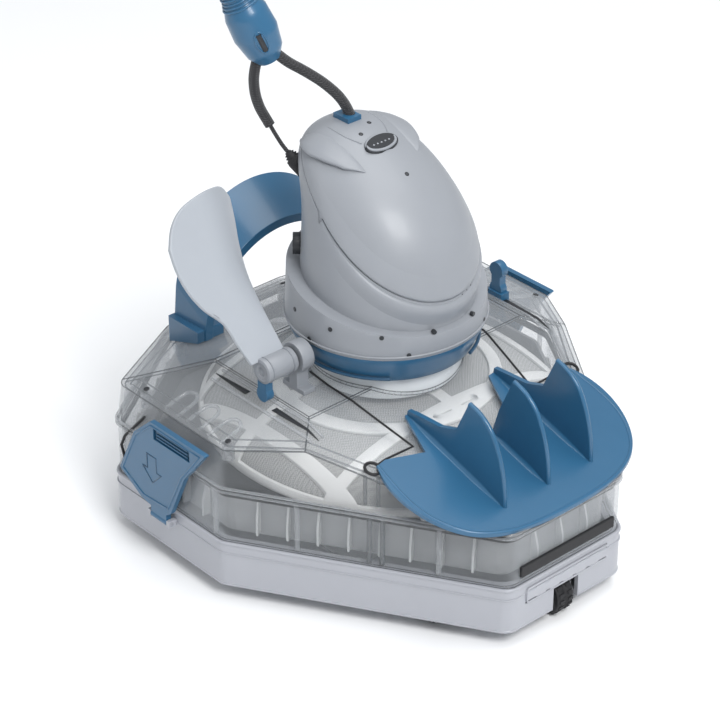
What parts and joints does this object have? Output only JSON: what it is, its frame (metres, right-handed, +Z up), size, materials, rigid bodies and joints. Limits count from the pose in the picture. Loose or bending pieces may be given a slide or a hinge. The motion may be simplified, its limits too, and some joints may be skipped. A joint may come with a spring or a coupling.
{
  "type": "pool cleaner",
  "caption": "Cordless jet-driven pool cleaner: swivelling thruster head on a clear cover over a ribbed filter, with wheels, side latches, a tilting paddle and a finned guide.",
  "frame": {"origin": "on the pool floor, midway between the two bumper faces and in the middle of the width", "axes": "+X is the driving direction towards the finned guide, +Y is left, +Z is up"},
  "size_m": [0.43, 0.3932, 0.5024],
  "materials": {
    "light_grey_plastic": "satin moulded plastic",
    "pale_grey_plastic": "smooth moulded plastic",
    "white_plastic": "satin moulded plastic",
    "clear_plastic": "clear moulded polycarbonate",
    "blue_plastic": "satin moulded plastic",
    "dark_plastic": "moulded plastic",
    "black_rubber": "matt rubber",
    "mesh_screen": "fine woven screen",
    "rope": "braided cord",
    "steel": "brushed"
  },
  "bodies": {
    "chassis": {"base_tray": "light_grey_plastic", "front_bumper": "light_grey_plastic", "rear_bumper": "light_grey_plastic", "front_seal": "black_rubber", "rear_seal": "black_rubber", "lower_body": "clear_plastic", "cover_gasket": "black_rubber", "filter_tray": "white_plastic", "flap_pins": "steel", "filter_frame": "white_plastic", "filter_mesh": "mesh_screen", "wheel_axles": "steel", "latch_pins": "steel"},
    "front_wheel": {"front_wheel": "black_rubber"},
    "rear_wheel": {"rear_wheel": "black_rubber"},
    "front_left_wheel": {"front_left_wheel": "black_rubber"},
    "front_right_wheel": {"front_right_wheel": "black_rubber"},
    "rear_left_wheel": {"rear_left_wheel": "black_rubber"},
    "rear_right_wheel": {"rear_right_wheel": "black_rubber"},
    "left_flap": {"left_inlet_flap": "white_plastic"},
    "right_flap": {"right_inlet_flap": "white_plastic"},
    "left_latch": {"left_latch": "blue_plastic"},
    "right_latch": {"right_latch": "blue_plastic"},
    "cover": {"cover_shell": "clear_plastic", "neck_collar": "white_plastic", "swivel_bearing": "white_plastic", "front_guide": "blue_plastic", "carry_handle": "blue_plastic", "tube_collar": "light_grey_plastic", "left_lever": "blue_plastic", "groove_rails": "clear_plastic"},
    "paddle": {"paddle_blade": "pale_grey_plastic", "paddle_tube": "light_grey_plastic", "paddle_lever": "blue_plastic", "paddle_shaft": "steel"},
    "turret": {"head_base": "light_grey_plastic", "head_visor": "light_grey_plastic", "blue_ring": "blue_plastic", "turret_hub": "white_plastic", "motor_bracket": "dark_plastic", "pump_motor": "dark_plastic", "battery_pack": "dark_plastic", "control_board": "dark_plastic", "rope_clip": "blue_plastic", "badge": "dark_plastic", "skirt_screws": "steel", "cord_grommet": "black_rubber", "rope_float": "blue_plastic", "rope_sleeve": "rope", "rope_tail": "rope", "rope_thread": "rope", "switch_bezel": "steel"},
    "impeller": {"impeller": "dark_plastic", "impeller_shaft": "steel"},
    "power_switch": {"power_switch": "black_rubber"}
  },
  "joints": [
    {"name": "front_wheel_spin", "type": "hinge", "parent": "chassis", "child": "front_wheel", "pos_m": [0.1975, 0, 0.0175], "axis": [0, 1, 0], "continuous": true},
    {"name": "rear_wheel_spin", "type": "hinge", "parent": "chassis", "child": "rear_wheel", "pos_m": [-0.1975, 0, 0.0175], "axis": [0, 1, 0], "continuous": true},
    {"name": "front_right_wheel_spin", "type": "hinge", "parent": "chassis", "child": "front_right_wheel", "pos_m": [0.142, -0.078, 0.0175], "axis": [0, 1, 0], "continuous": true},
    {"name": "front_left_wheel_spin", "type": "hinge", "parent": "chassis", "child": "front_left_wheel", "pos_m": [0.142, 0.078, 0.0175], "axis": [0, 1, 0], "continuous": true},
    {"name": "rear_right_wheel_spin", "type": "hinge", "parent": "chassis", "child": "rear_right_wheel", "pos_m": [-0.12, -0.14, 0.0175], "axis": [0, 1, 0], "continuous": true},
    {"name": "rear_left_wheel_spin", "type": "hinge", "parent": "chassis", "child": "rear_left_wheel", "pos_m": [-0.12, 0.14, 0.0175], "axis": [0, 1, 0], "continuous": true},
    {"name": "left_flap_hinge", "type": "hinge", "parent": "chassis", "child": "left_flap", "pos_m": [0.02, 0.041, 0.0665], "axis": [1, 0, 0], "range_deg": [0, 60]},
    {"name": "right_flap_hinge", "type": "hinge", "parent": "chassis", "child": "right_flap", "pos_m": [0.02, -0.041, 0.0665], "axis": [-1, 0, 0], "range_deg": [0, 60]},
    {"name": "left_latch_hinge", "type": "hinge", "parent": "chassis", "child": "left_latch", "pos_m": [-0.06, 0.1932, 0.046], "axis": [-1, 0, 0], "range_deg": [0, 60]},
    {"name": "right_latch_hinge", "type": "hinge", "parent": "chassis", "child": "right_latch", "pos_m": [-0.06, -0.1932, 0.046], "axis": [1, 0, 0], "range_deg": [0, 60]},
    {"name": "cover_lift", "type": "slide", "parent": "chassis", "child": "cover", "axis": [0, 0, 1], "range_m": [0, 0.12]},
    {"name": "paddle_tilt", "type": "hinge", "parent": "cover", "child": "paddle", "pos_m": [0, -0.118, 0.188], "axis": [0, 1, 0], "range_deg": [0, 64]},
    {"name": "turret_swivel", "type": "hinge", "parent": "cover", "child": "turret", "pos_m": [0, 0, 0.169], "axis": [0, 0, 1], "range_deg": [0, 180]},
    {"name": "impeller_spin", "type": "hinge", "parent": "turret", "child": "impeller", "pos_m": [0, 0, 0.183], "axis": [0, 0, 1], "continuous": true},
    {"name": "switch_press", "type": "slide", "parent": "turret", "child": "power_switch", "axis": [0.6691, 0.7431, 0], "range_m": [0, 0.0015], "stiffness_N_per_m": 400}
  ]
}
